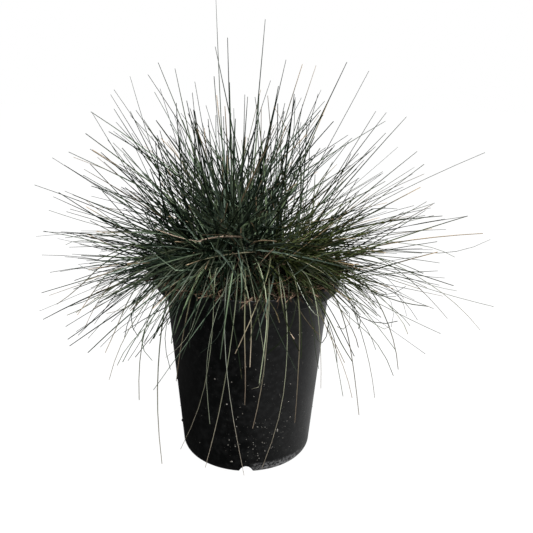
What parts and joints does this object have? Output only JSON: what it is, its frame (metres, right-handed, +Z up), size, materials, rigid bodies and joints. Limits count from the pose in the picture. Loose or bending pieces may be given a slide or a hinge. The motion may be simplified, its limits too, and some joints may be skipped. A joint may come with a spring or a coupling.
{
  "type": "potted blue fescue clump",
  "caption": "Dense clump of fine, stiff blue-green grass leaves fanning from a low crown, rooted in soil in a round tapered black nursery pot.",
  "frame": {"origin": "middle of the pot's flat base, on the surface that it stands on", "axes": "+Z up along the pot's axis; -Y is the front that the picture shows; +X is the picture's right"},
  "size_m": [0.4104, 0.3632, 0.4024],
  "materials": {
    "black_plastic": "near-black blow-moulded plastic with a fine pebbled texture, dusty, satin",
    "potting_mix": "dark crumbly peat and bark mix, matt",
    "old_sheaths": "dry reddish-brown leaf bases and thatch, matt",
    "leaf_blue": "stiff rolled leaves with a glaucous blue-green bloom, tan at the tips, soft sheen",
    "leaf_olive": "stiff rolled leaves, yellower olive green, soft sheen",
    "leaf_straw": "dried straw-coloured leaf, matt"
  },
  "bodies": {
    "root": {"nursery_pot": "black_plastic", "potting_soil": "potting_mix", "crown": "old_sheaths", "leaf_tuft_01": "leaf_blue", "leaf_tuft_02": "leaf_blue", "leaf_tuft_03": "leaf_blue", "leaf_tuft_04": "leaf_blue", "leaf_tuft_05": "leaf_blue", "leaf_tuft_06": "leaf_blue", "leaf_tuft_07": "leaf_blue", "leaf_tuft_08": "leaf_blue", "leaf_tuft_09": "leaf_blue", "leaf_tuft_10": "leaf_blue", "leaf_tuft_11": "leaf_blue", "leaf_tuft_12": "leaf_blue", "leaf_tuft_13": "leaf_blue", "leaf_tuft_14": "leaf_blue", "leaf_tuft_15": "leaf_blue", "leaf_tuft_16": "leaf_blue", "leaf_tuft_17": "leaf_blue", "leaf_tuft_18": "leaf_blue", "leaf_tuft_19": "leaf_blue", "leaf_tuft_20": "leaf_blue", "leaf_tuft_21": "leaf_blue", "leaf_tuft_22": "leaf_blue", "leaf_tuft_23": "leaf_blue", "leaf_tuft_24": "leaf_blue", "leaf_tuft_25": "leaf_blue", "leaf_tuft_26": "leaf_blue", "leaf_tuft_27": "leaf_blue", "leaf_tuft_28": "leaf_blue", "leaf_tuft_29": "leaf_olive", "leaf_tuft_30": "leaf_olive", "leaf_tuft_31": "leaf_olive", "leaf_tuft_32": "leaf_olive", "leaf_tuft_33": "leaf_olive", "leaf_tuft_34": "leaf_olive", "leaf_tuft_35": "leaf_olive", "trailing_leaf_01": "leaf_blue", "trailing_leaf_02": "leaf_straw", "trailing_leaf_03": "leaf_blue", "trailing_leaf_04": "leaf_blue", "trailing_leaf_05": "leaf_blue", "trailing_leaf_06": "leaf_straw", "trailing_leaf_07": "leaf_straw", "trailing_leaf_08": "leaf_blue", "trailing_leaf_09": "leaf_straw", "trailing_leaf_10": "leaf_blue", "trailing_leaf_11": "leaf_straw", "trailing_leaf_12": "leaf_blue", "trailing_leaf_13": "leaf_blue", "trailing_leaf_14": "leaf_blue", "trailing_leaf_15": "leaf_blue", "trailing_leaf_16": "leaf_straw", "trailing_leaf_17": "leaf_blue", "trailing_leaf_18": "leaf_blue", "trailing_leaf_19": "leaf_blue", "trailing_leaf_20": "leaf_blue", "trailing_leaf_21": "leaf_straw", "trailing_leaf_22": "leaf_blue"}
  },
  "joints": []
}
